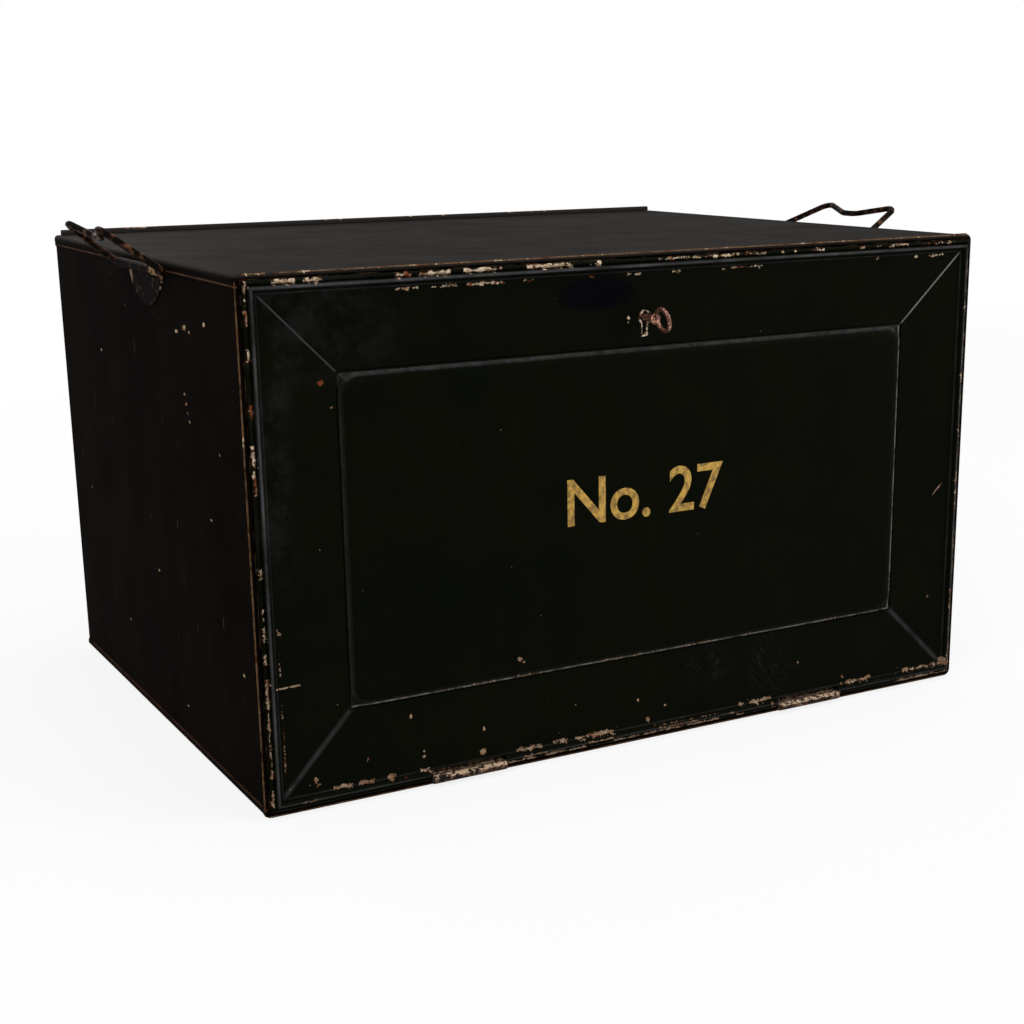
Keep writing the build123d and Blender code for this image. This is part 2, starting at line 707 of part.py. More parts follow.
def make_handle_plate(side):
    # Half-moon plate on the side sheet, rolled at its top into the tube that holds the handle's ends.
    bore = handle_wire / 2 + handle_clearance
    tube_radius = bore + handle_sheet
    z_top = case_height - plate_top_drop
    drop = plate_bottom_drop - plate_top_drop
    arc_radius = (plate_half_chord**2 + drop**2) / (2 * drop)
    disc = Pos(handle_y, z_top - drop + arc_radius) * Circle(arc_radius)
    below = Pos(handle_y, z_top - arc_radius) * Rectangle(4 * plate_half_chord, 2 * arc_radius)
    plate = along_x(disc & below, (wall_x, wall_x + handle_sheet))
    chord = (handle_y - plate_half_chord, handle_y + plate_half_chord)
    crease_z = case_height - plate_crease_drop
    tangent_x = handle_x - tube_radius
    neck = Polygon((wall_x, z_top), (wall_x + handle_sheet, z_top), (wall_x + handle_sheet, crease_z),
                   (tangent_x + handle_sheet, handle_z), (tangent_x, handle_z), (wall_x, crease_z),
                   align=None)
    plate += along_y(neck, chord)
    tube_ends = (handle_y - knuckle_half_length, handle_y + knuckle_half_length)
    plate += rod(tube_radius, (handle_x, tube_ends[0], handle_z), (handle_x, tube_ends[1], handle_z))
    plate -= rod(bore, (handle_x, tube_ends[0], handle_z), (handle_x, tube_ends[1], handle_z))
    plate = only_solid(plate)
    return plate if side > 0 else only_solid(mirror(plate, Plane.YZ))


pieces = {
    "top_sheet": make_top_sheet(),
    "bottom_sheet": make_bottom_sheet(),
    "side_sheet_left": make_side_sheet(-1),
    "side_sheet_right": make_side_sheet(1),
    "back_sheet": make_back_sheet(),
    "front_edge_wire": make_front_edge_wire(),
    "keeper_plate": make_keeper_plate(),
    "door_rail_top": make_top_rail(),
    "door_rail_bottom": make_bottom_rail(),
    "door_stile_left": make_stile(-1),
    "door_stile_right": make_stile(1),
    "door_panel": make_door_panel(),
    "lock_case": make_lock_case(),
    "lock_cap": make_lock_cap(),
    "lock_rivets": make_lock_rivets(),
    "lock_stump": make_lock_stump(),
    "lock_spring": make_lock_spring(),
    "lock_bolt": make_lock_bolt(),
    "key": make_key(),
    "handle_left": make_handle(-1, handle_tilt_left),
    "handle_right": make_handle(1, handle_tilt_right),
}
for name, side in (("left", -1), ("right", 1)):
    pieces[f"hinge_leaf_fixed_{name}"] = make_fixed_leaf(side)
    pieces[f"hinge_leaf_door_{name}"] = make_moving_leaf(side)
    pieces[f"hinge_pin_{name}"] = make_hinge_pin(side)
    pieces[f"handle_plate_{name}"] = make_handle_plate(side)

os.makedirs("parts", exist_ok=True)
for name, shape in pieces.items():
    export_step(shape, os.path.join("parts", f"{name}.step"))
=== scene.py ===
import json
import math

import bmesh
import bpy
from mathutils import Matrix, Vector


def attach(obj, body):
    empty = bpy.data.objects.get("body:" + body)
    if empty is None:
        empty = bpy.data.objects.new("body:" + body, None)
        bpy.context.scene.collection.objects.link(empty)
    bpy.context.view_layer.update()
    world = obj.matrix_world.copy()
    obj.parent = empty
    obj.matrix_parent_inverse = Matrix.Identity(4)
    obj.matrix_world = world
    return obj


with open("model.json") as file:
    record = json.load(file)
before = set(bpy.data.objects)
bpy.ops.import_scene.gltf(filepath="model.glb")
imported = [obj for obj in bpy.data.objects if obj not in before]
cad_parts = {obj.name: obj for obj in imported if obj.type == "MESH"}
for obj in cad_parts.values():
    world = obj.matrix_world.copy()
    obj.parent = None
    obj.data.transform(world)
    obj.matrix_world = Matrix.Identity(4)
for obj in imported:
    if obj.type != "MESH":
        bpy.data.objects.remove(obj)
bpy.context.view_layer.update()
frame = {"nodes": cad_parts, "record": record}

# the case's outer size over its rolled edges, in millimetres; it places the wear on the case and on the door
caseSize = {"width": 580.0, "depth": 450.0, "height": 350.0}


def linear(hexColour):
    # sRGB hex to the linear colour that a shader takes
    parts = [int(hexColour[i:i + 2], 16) / 255 for i in (1, 3, 5)]
    return [p / 12.92 if p <= 0.04045 else ((p + 0.055) / 1.055) ** 2.4 for p in parts] + [1.0]


def addNode(tree, kind, inputs=(), output=0, **settings):
    # one node: its settings, then its inputs by name or in order, each a value, a hex colour or a socket to link
    node = tree.nodes.new("ShaderNode" + kind)
    for name, value in settings.items():
        setattr(node, name, value)
    for socket, value in (inputs.items() if isinstance(inputs, dict) else enumerate(inputs)):
        if isinstance(value, bpy.types.NodeSocket):
            tree.links.new(value, node.inputs[socket])
        else:
            node.inputs[socket].default_value = linear(value) if isinstance(value, str) else value
    return node.outputs[output] if node.outputs else node


def startMaterial(name):
    material = bpy.data.materials.new(name)
    material.use_nodes = True
    tree = material.node_tree
    tree.nodes.clear()
    return material, tree


def overlap(tree, masks):
    # where all the masks are
    total = masks[0]
    for mask in masks[1:]:
        total = addNode(tree, "Math", (total, mask), operation="MULTIPLY")
    return total


def unite(tree, masks):
    # where any of the masks is
    total = masks[0]
    for mask in masks[1:]:
        total = addNode(tree, "Math", (total, mask), operation="MAXIMUM")
    return total


def weighted(tree, start, parts):
    # start plus each part times its weight
    total = start
    for value, weight in parts:
        total = addNode(tree, "Math", (value, weight, total), operation="MULTIPLY_ADD")
    return total


def between(tree, value, low, high, soft):
    # 1 from low to high, easing to 0 over the soft distance outside; None leaves that side open
    sides = []
    if low is not None:
        sides.append(addNode(tree, "MapRange", {"Value": value, "From Min": low - soft, "From Max": low},
                             interpolation_type="SMOOTHSTEP"))
    if high is not None:
        sides.append(addNode(tree, "MapRange", {"Value": value, "From Min": high, "From Max": high + soft,
                                                "To Min": 1.0, "To Max": 0.0}, interpolation_type="SMOOTHSTEP"))
    return overlap(tree, sides)


def patches(tree, vector, size, low=0.0, high=1.0, detail=4.0, rough=0.6):
    # mottling whose blots are about size millimetres across: 0 below the low level, 1 above the high one
    cloud = addNode(tree, "TexNoise", {"Vector": vector, "Scale": 1 / size, "Detail": detail, "Roughness": rough})
    return addNode(tree, "MapRange", {"Value": cloud, "From Min": low, "From Max": high})


def coat(tree, base, layers):
    # colours laid one over another, each as much as its mask says
    for mask, colour in layers:
        base = addNode(tree, "Mix", {0: mask, 6: base, 7: colour}, 2, data_type="RGBA")
    return base


def places(tree):
    # Object coordinates turned to millimetres from the left, the front and the floor
    spot = addNode(tree, "TexCoord", output="Object")
    corner = (caseSize["width"] / 2, caseSize["depth"] / 2, 0)
    vector = addNode(tree, "Mapping", {"Vector": spot, "Scale": (1000, 1000, 1000), "Location": corner})
    return vector, *addNode(tree, "SeparateXYZ", (vector,)).node.outputs


def insets(tree, x, z):
    # how far in a place lies: from the top, from the nearer side, from the nearer of top and foot, and from any edge
    fromRight = addNode(tree, "Math", (caseSize["width"], x), operation="SUBTRACT")
    fromTop = addNode(tree, "Math", (caseSize["height"], z), operation="SUBTRACT")
    fromSide = addNode(tree, "Math", (x, fromRight), operation="MINIMUM")
    fromEnd = addNode(tree, "Math", (z, fromTop), operation="MINIMUM")
    return fromTop, fromSide, fromEnd, addNode(tree, "Math", (fromSide, fromEnd), operation="MINIMUM")


def shaken(tree, vector, size, reach):
    # the same place moved up to reach millimetres about, so that worn edges run ragged
    noise = {"Vector": vector, "Scale": 1 / size, "Detail": 4.0, "Roughness": 0.65}
    cloud = addNode(tree, "TexNoise", noise, "Color")
    moved = addNode(tree, "VectorMath", (cloud, (2 * reach,) * 3, vector), operation="MULTIPLY_ADD")
    return addNode(tree, "VectorMath", (moved, (reach,) * 3), operation="SUBTRACT")


def wornAlong(tree, place, spans, reach):
    # 1 inside each worn length (start, end) of an edge, 0 between them
    colour = addNode(tree, "ValToRGB", (overlap(tree, [place, 1 / reach]),))
    ramp = colour.node.color_ramp
    ramp.interpolation = "CONSTANT"
    stops = [(end / reach, float(index == 0)) for span in spans for index, end in enumerate(span)]
    for index, (spot, amount) in enumerate(stops):
        element = ramp.elements[1] if index == 0 else ramp.elements.new(spot)
        element.position = spot
        element.color = (amount, amount, amount, 1.0)
    return colour


def flakeLine(tree, place, across, ragged, reach, line):
    # paint gone in lengths along one line; the value is the depth inside a flake in millimetres
    middle, half, spans = line
    width = overlap(tree, [wornAlong(tree, place, spans, reach), weighted(tree, 0.1 * half, [(ragged, 1.3 * half)])])
    away = addNode(tree, "Math", (across, middle), operation="SUBTRACT")
    away = addNode(tree, "Math", (away,), operation="ABSOLUTE")
    return addNode(tree, "Math", (width, away), operation="SUBTRACT")


def flakeSpots(tree, vector, spots):
    # single flakes, each (place, radius); the value is again the depth inside one
    depths = []
    for place, radius in spots:
        away = addNode(tree, "VectorMath", (vector, place), "Value", operation="DISTANCE")
        depths.append(addNode(tree, "Math", (radius, away), operation="SUBTRACT"))
    return unite(tree, depths)


def finishPaint(tree, colour, roughness, metallic, height, specular):
    bump = addNode(tree, "Bump", {"Strength": 1.0, "Distance": 0.00025, "Height": height})
    shader = addNode(tree, "BsdfPrincipled", {"Base Color": colour, "Roughness": roughness, "Metallic": metallic,
                                              "IOR": 1.5, "Specular IOR Level": specular, "Normal": bump})
    addNode(tree, "OutputMaterial", (shader,))


# the door's paint; places in millimetres from the left and the floor, insets in millimetres from the case's edge,
# and lines as (inset, half width, worn lengths)
doorPaint = {
    # the black, its slow clouds, the patch that was brushed over later, and the plainer inside
    "black": "#060803", "warm": "#0a0b04", "cool": "#060804", "touchUp": "#040407",
    "within": "#14100c", "withinBrown": "#1f1711", "specular": 0.014,
    # grey haze and bright lines (partly rubs, partly painted highlights), painted sheen, a flake's rim and middle
    "hazeAndHighlight": "#5b5c5e", "bright": "#a0978e", "sheen": "#4e4e51",
    "rim": "#20120a", "rust": "#693820", "tin": "#cbb9a0", "tinDull": "#7f6650",
    "shakeSize": 4.5, "shakeReach": 2.2, "flakeSize": 5.0, "rimDepth": 0.68, "rimWidth": 0.35,
    # insets of the bead's crest and foot, the frame, the valley beside the panel and the panel's rounded shoulder
    "beadCrest": (8.7, 9.3), "beadFoot": (12.5, 12.7), "frame": (14.5, 62.5), "valley": (64.9, 65.4),
    "panel": 65.3, "roundFrom": 78.5, "shoulder": 12.0,
    # where the key stands, how far round it the paint is gone, and the slot below it
    "key": (290.0, 305.6), "keyRub": 4.7, "slotHalf": 2.2, "slot": (292.6, 306.0),
    # a level scratch at the left, a slanting nick at the right, and the patch's middle and reach
    "scratch": ((12.0, 29.0), (87.4, 88.0)), "nick": (552.0, 560.0), "nickStart": 400.0,
    "patchMiddle": (250, 324), "patchReach": (31, 12),
    "top": [
        (6.0, 2.1, [(21, 38), (42, 55), (104, 114), (119, 142), (151, 178), (197, 231), (243, 252)]),
        (5.6, 1.3, [(297, 331), (333, 386), (399, 402), (411, 414), (425, 438), (469, 475), (485, 490), (497, 516),
                    (529, 536), (541, 561)]),
        (14.6, 1.3, [(102, 118), (129, 146), (154, 181), (194, 202), (244, 248), (274, 284), (310, 316), (349, 383),
                     (485, 489), (523, 527), (535, 549)]),
    ],
    "bottom": [
        (13.2, 1.9, [(47, 61), (64, 76), (84, 92), (111, 116), (182, 202), (211, 223), (231, 262), (370, 375),
                     (379, 401), (465, 496), (526, 561), (562, 574)]),
        (11.0, 0.55, [(293, 351)]),
        (8.6, 1.5, [(24, 33), (186, 206), (240, 262), (298, 331), (354, 364)]),
        (5.6, 1.6, [(120, 152), (176, 198), (206, 240), (262, 352), (368, 376), (400, 466), (520, 575)]),
        (65.4, 0.7, [(96, 106), (118, 134), (146, 172), (186, 208), (256, 286), (322, 346), (372, 386), (452, 470)]),
    ],
    "left": [
        (6.0, 1.5, [(8, 20), (28, 95), (104, 112), (119, 142), (160, 168), (214, 246), (262, 270), (296, 304),
                    (318, 346)]),
        (15.4, 0.9, [(28, 48), (52, 62), (66, 76), (95, 104), (122, 126)]),
    ],
    "right": [
        (8.6, 1.6, [(8, 22), (56, 74), (134, 169), (199, 204), (221, 227), (239, 247), (295, 299)]),
        (5.6, 0.8, [(20, 60), (80, 130), (180, 196), (250, 330)]),
    ],
    # orange and cream flakes by themselves: (across, up, radius)
    "spots": [(53, 280, 2.0), (60, 264, 1.6), (189, 78, 2.2), (192, 75, 1.5), (106, 51, 2.0), (160, 33, 1.7),
              (114, 22, 1.6), (114, 26, 1.2), (73, 28, 1.4), (89, 13, 2.6), (36, 21, 2.1), (38, 18, 1.6),
              (158, 17, 2.4), (427, 36, 1.2), (469, 18, 1.8), (473, 13, 2.0), (567, 16, 2.8), (573, 25, 2.2),
              (284, 31, 1.6), (292, 16, 2.2), (307, 24, 1.4), (387, 12, 1.8), (400, 10, 1.8), (277, 306, 1.7),
              (277, 303, 1.3), (222, 343, 1.2), (552, 70, 1.3), (16, 124, 1.8)],
    # feathery scuffs: the middle of the stroke's curve, the middle of the scuff and its reach
    "scuffs": [((450, 85), (398, 38), 30), ((312, 85), (345, 46), 25)],
}


def makeDoorJapan():
    # japan, an asphalt varnish stoved on tinplate: a deep, faintly green black with a soft gloss, which
    # flakes off in ragged spots with rusty rims and rubs grey where the sheet is folded; painted highlights lie along
    # its bead, cove, mitres and the panel's edge
    p = doorPaint
    wide, tall = caseSize["width"], caseSize["height"]
    material, tree = startMaterial("stovedBlackJapan")
    vector, x, y, z = places(tree)
    _, fromSide, fromEnd, inset = insets(tree, x, z)
    facing = addNode(tree, "SeparateXYZ", (addNode(tree, "TexCoord", output="Normal"),), "Y")
    outward = between(tree, facing, None, 0.3, 0.2)
    front = overlap(tree, [between(tree, weighted(tree, 0.0, [(y, 1.0), (inset, -0.08)]), None, 0.6, 0.6), outward])
    isRight = between(tree, x, wide / 2 + 1, None, 2.0)
    isLow = between(tree, z, None, tall / 2 - 1, 2.0)
    onSide = between(tree, addNode(tree, "Math", (fromEnd, fromSide), operation="SUBTRACT"), 0.6, None, 1.2)

    # flakes along the edges and by themselves, at places moved about a little
    flat = addNode(tree, "CombineXYZ", {"X": x, "Z": z})
    moved = shaken(tree, flat, p["shakeSize"], p["shakeReach"])
    movedX, _, movedZ = addNode(tree, "SeparateXYZ", (moved,)).node.outputs
    movedRight = addNode(tree, "Math", (wide, movedX), operation="SUBTRACT")
    movedTop = addNode(tree, "Math", (tall, movedZ), operation="SUBTRACT")
    ragged = patches(tree, vector, p["flakeSize"], 0.34, 0.66, 5.0, 0.68)
    depths = [flakeSpots(tree, moved, [((across, 0, up), radius) for across, up, radius in p["spots"]])]
    for name, place, across, reach in (("top", movedX, movedTop, wide), ("bottom", movedX, movedZ, wide),
                                       ("left", movedZ, movedX, tall), ("right", movedZ, movedRight, tall)):
        depths += [flakeLine(tree, place, across, ragged, reach, line) for line in p[name]]

    # dust-fine specks anywhere, thicker near the foot, and the scratch and the nick
    low = between(tree, z, None, 12.0, 50.0)
    speck = weighted(tree, -12.6, [(patches(tree, vector, 3.2, detail=2.0), 16.0), (low, 0.9)])
    across, up = p["scratch"]
    scratch = overlap(tree, [between(tree, z, *up, 0.7), between(tree, x, *across, 1.0)])
    slope = weighted(tree, -p["nickStart"], [(x, 1.0), (z, -1.0)])
    slope = addNode(tree, "Math", (slope,), operation="ABSOLUTE")
    nick = overlap(tree, [between(tree, slope, None, 0.4, 0.7), between(tree, x, *p["nick"], 1.0)])
    lines = weighted(tree, -0.6, [(overlap(tree, [unite(tree, [scratch, nick]), ragged]), 2.4)])
    crumbs = patches(tree, vector, 1.5, 0.36, 0.68, 3.0, 0.65)
    depth = unite(tree, [weighted(tree, 0.25, [(unite(tree, depths), 1.0), (crumbs, -1.35)]), speck, lines])
    depth = overlap(tree, [weighted(tree, 0.6, [(depth, 1.0)]), front])

    # the key has worn the lip of its hole and slot to brown metal
    keyX, keyZ = p["key"]
    fromKey = addNode(tree, "VectorMath", (moved, (keyX, 0, keyZ)), "Value", operation="DISTANCE")
    slotSide = addNode(tree, "Math", (movedX, keyX), operation="SUBTRACT")
    slotSide = addNode(tree, "Math", (slotSide,), operation="ABSOLUTE")
    slotWear = overlap(tree, [between(tree, slotSide, None, p["slotHalf"], 0.5), between(tree, z, *p["slot"], 0.5)])
    keyWear = overlap(tree, [unite(tree, [between(tree, fromKey, None, p["keyRub"], 0.6), slotWear]), front])
    rim = unite(tree, [between(tree, depth, p["rimDepth"], None, 0.15), keyWear])
    core = between(tree, depth, p["rimDepth"] + p["rimWidth"], None, 0.2)

    # a line where the frame meets the panel, partly rubbed and partly a painted highlight, brightest at the right and
    # the foot, where the step faces the light
    dashes = patches(tree, vector, 9.0, 0.36, 0.56, 6.0, 0.72)
    onEnd = addNode(tree, "Math", (1.0, onSide), operation="SUBTRACT")
    stepFacingLight = unite(tree, [overlap(tree, [isRight, onSide]), overlap(tree, [isLow, onEnd])])
    valley = overlap(tree, [between(tree, inset, *p["valley"], 0.6), dashes,
                            weighted(tree, 0.03, [(stepFacingLight, 0.4)])])

    # a haze on the panel's shoulder, partly wear and partly a painted highlight, strongest along its top where the
    # shoulder faces up to the light, that fills the corners outside the rounding
    corners = []
    for distance in (fromSide, fromEnd):
        short = addNode(tree, "Math", (p["roundFrom"], distance), operation="SUBTRACT")
        corners.append(addNode(tree, "Math", (short, 0.0), operation="MAXIMUM"))
    outside = addNode(tree, "CombineXYZ", {"X": corners[0], "Z": corners[1]})
    outside = addNode(tree, "VectorMath", (outside,), "Value", operation="LENGTH")
    shoulder = overlap(tree, [between(tree, outside, p["shoulder"], None, 1.8),
                              between(tree, inset, p["panel"], None, 0.3),
                              patches(tree, vector, 6.0, 0.28, 0.60, 7.0, 0.78)])
    shoulder = overlap(tree, [shoulder, weighted(tree, 0.30, [(unite(tree, [isLow, onSide]), -0.23)])])

    # mitres: the soldered joints of the frame, drawn as painted highlight lines, crisp above and soft below,
    # brightest at the upper right
    gap = addNode(tree, "Math", (fromSide, fromEnd), operation="SUBTRACT")
    gap = addNode(tree, "Math", (gap,), operation="ABSOLUTE")
    inFrame = overlap(tree, [between(tree, inset, *p["frame"], 2.0), front])
    isHigh = addNode(tree, "Math", (1.0, isLow), operation="SUBTRACT")
    crisp = overlap(tree, [between(tree, gap, None, 0.3, 0.9), isHigh, weighted(tree, 0.34, [(isRight, 0.4)])])
    cloudy = patches(tree, vector, 14.0, 0.34, 0.66, 5.0, 0.68)
    soft = overlap(tree, [between(tree, gap, None, 0.4, 3.6), isLow, weighted(tree, 0.09, [(cloudy, 0.2)])])
    mitre = overlap(tree, [inFrame, unite(tree, [crisp, soft])])
    brightMitre = overlap(tree, [crisp, isRight, inFrame, patches(tree, vector, 30.0, 0.36, 0.6), 0.7])

    # feathery scuffs: hair lines that follow a curve about a middle
    scuffs = []
    for centre, place, reach in p["scuffs"]:
        turn = addNode(tree, "VectorMath", (flat, (centre[0], 0, centre[1])), "Value", operation="DISTANCE")
        drawn = addNode(tree, "CombineXYZ", {"X": turn, "Y": x, "Z": z})
        drawn = addNode(tree, "Mapping", {"Vector": drawn, "Scale": (1, 0.07, 0.07)})
        away = addNode(tree, "VectorMath", (flat, (place[0], 0, place[1])), "Value", operation="DISTANCE")
        scuffs.append(overlap(tree, [patches(tree, drawn, 0.9, 0.52, 0.74, 4.0, 0.66),
                                     between(tree, away, None, reach * 0.2, reach)]))
    onFlat = between(tree, inset, 15.0, None, 4.0)
    scuff = overlap(tree, [unite(tree, scuffs), front, onFlat, patches(tree, vector, 12.0, 0.3, 0.6), 0.2])

    # the upper left of the frame is greyed, a painted reflection along the left cove and dust in the corner,
    # and one patch left of the lock was brushed over
    greyClouds = patches(tree, vector, 22.0, 0.44, 0.74, 7.0, 0.72)
    greyed = overlap(tree, [between(tree, x, 12.0, 24.0, 14.0), between(tree, z, 190.0, 335.0, 60.0)])
    greyCorner = overlap(tree, [between(tree, x, None, 66.0, 60.0), between(tree, z, 300.0, None, 30.0)])
    grey = overlap(tree, [greyClouds, unite(tree, [greyed, greyCorner]), front, 0.085])
    (patchX, patchZ), (reachX, reachZ) = p["patchMiddle"], p["patchReach"]
    ellipse = addNode(tree, "Mapping", {"Vector": flat, "Location": (-patchX / reachX, 0, -patchZ / reachZ),
                                        "Scale": (1 / reachX, 1, 1 / reachZ)})
    ellipse = addNode(tree, "VectorMath", (ellipse,), "Value", operation="LENGTH")
    patch = overlap(tree, [between(tree, ellipse, None, 0.8, 0.3), front])

    # the black itself: slow clouds, fine grain, and a painted sheen, a highlight along the bead's crest and foot
    # that fades towards the floor
    cloud = patches(tree, vector, 85.0, 0.35, 0.65)
    grain = patches(tree, vector, 0.7, detail=3.0)
    beadFoot = overlap(tree, [between(tree, inset, *p["beadFoot"], 0.8), 0.3])
    crest = unite(tree, [between(tree, inset, *p["beadCrest"], 0.9), beadFoot])
    sheen = overlap(tree, [crest, front, weighted(tree, 0.2, [(patches(tree, vector, 24.0, 0.36, 0.68), 0.55)]),
                           between(tree, z, 24.0, None, 30.0)])
    colour = coat(tree, p["black"], [
        (cloud, p["warm"]), (patches(tree, vector, 40.0, 0.45, 0.7), p["cool"]), (patch, p["touchUp"]),
        (sheen, p["sheen"]), (unite(tree, [shoulder, mitre, scuff, grey]), p["hazeAndHighlight"]),
        (overlap(tree, [valley, front]), p["bright"]), (brightMitre, p["bright"])])
    within = coat(tree, p["within"], [(patches(tree, vector, 50.0, 0.4, 0.66, 6.0, 0.62), p["withinBrown"])])
    colour = coat(tree, within, [(outward, colour)])

    # bare tin in the flakes' middles, dulled towards the foot, and rust at their rims
    dullLow = overlap(tree, [between(tree, z, None, 30.0, 200.0), 0.7])
    tin = coat(tree, p["tin"], [(patches(tree, vector, 3.5, 0.40, 0.60), p["tinDull"]),
                                (patches(tree, vector, 11.0, 0.53, 0.60), p["rust"]), (dullLow, p["tinDull"])])
    rust = coat(tree, p["rim"], [(patches(tree, vector, 6.0, 0.5, 0.62), p["rust"])])
    keyTin = overlap(tree, [keyWear, patches(tree, vector, 1.8, 0.46, 0.60, 2.0)])
    colour = coat(tree, colour, [(overlap(tree, [rim, 0.94]), rust), (overlap(tree, [core, 0.96]), tin),
                                 (keyTin, p["tin"])])

    smear = patches(tree, addNode(tree, "Mapping", {"Vector": vector, "Scale": (1, 1, 4)}), 50.0, detail=5.0)
    # roughness rises on the rubs, scuffs and flake rims and on the places that carry painted highlights
    rubsAndHighlightPlaces = unite(tree, [shoulder, mitre, scuff, grey, rim])
    roughness = weighted(tree, 0.34, [(smear, 0.24), (rubsAndHighlightPlaces, 0.3)])
    height = weighted(tree, 0.0, [(rim, -0.5), (grain, 0.10), (patches(tree, vector, 11.0, detail=3.0), 0.5)])
    finishPaint(tree, colour, roughness, overlap(tree, [core, 0.2]), height, p["specular"])
    return material


# the case's paint, places in millimetres from the left, the front and the floor
casePaint = {
    # the top's colours are lighter than the sides': a painted reflection of the bright room at a low angle
    "side": "#060403", "sideBrown": "#0b0705", "top": "#1c1a18", "topPale": "#282523",
    "inside": "#1a1410", "insideBrown": "#2a1d15", "specular": 0.0012,
    "rim": "#1c110a", "rust": "#68371f", "hem": "#2b2826", "tin": "#b9a486", "tinDull": "#7d6650",
    "rubbed": "#876444", "line": "#543b2f",
    "shakeSize": 4.0, "shakeReach": 1.6, "flakeSize": 4.5,
    # insets of the sheets' outer faces and of the inside from the sides and the ends, and the inside's reach in depth
    "skin": 2.3, "insideSide": 2.5, "insideEnd": 1.7, "insideDepth": (6.0, 449.4),
    # the top sheet's flange below the top and the bottom sheet's lap above the floor, where their edges lie
    "flange": (7.7, 8.3), "lap": (6.7, 7.3),
    # the rolled edge's outer crest and depth, the crevice beside the door, the hem's crest and face, the back's plane
    "crest": 1.53, "rollDepth": 4.8, "crevice": (3.9, 4.4), "hemCrest": 352.2, "hemFace": 349.5, "back": 449.6,
    # flakes on the back (from the left, up, radius) and on the sides (back from the front, up, radius)
    "backSpots": [(40, 300, 2.2), (44, 296, 1.6), (120, 40, 2.4), (118, 210, 1.5), (190, 330, 1.8), (230, 90, 1.6),
                  (305, 250, 1.7), (340, 22, 2.6), (346, 26, 1.8), (395, 180, 1.4), (450, 318, 2.0),
                  (470, 60, 1.8), (520, 140, 2.2), (545, 280, 1.6)],
    "sideSpots": [(128, 303, 1.8), (111, 307, 2.2), (100, 305, 1.5), (68, 313, 1.7), (119, 262, 1.4), (117, 256, 1.3),
                  (115, 250, 1.1), (112, 244, 1.3), (326, 269, 1.2), (78, 184, 1.4), (210, 120, 1.3), (300, 60, 1.1),
                  (30, 90, 1.5), (160, 30, 1.4), (390, 150, 1.2), (52, 232, 1.0)],
    # how much wider than tall a side's flakes are, and the worn lengths of the roll's top, where the box is knocked
    "spotStretch": 1.9,
    "knocks": (0.6, 1.5, [(1, 9), (12, 20), (24, 29), (38, 44), (66, 71), (560, 568), (573, 579)]),
}


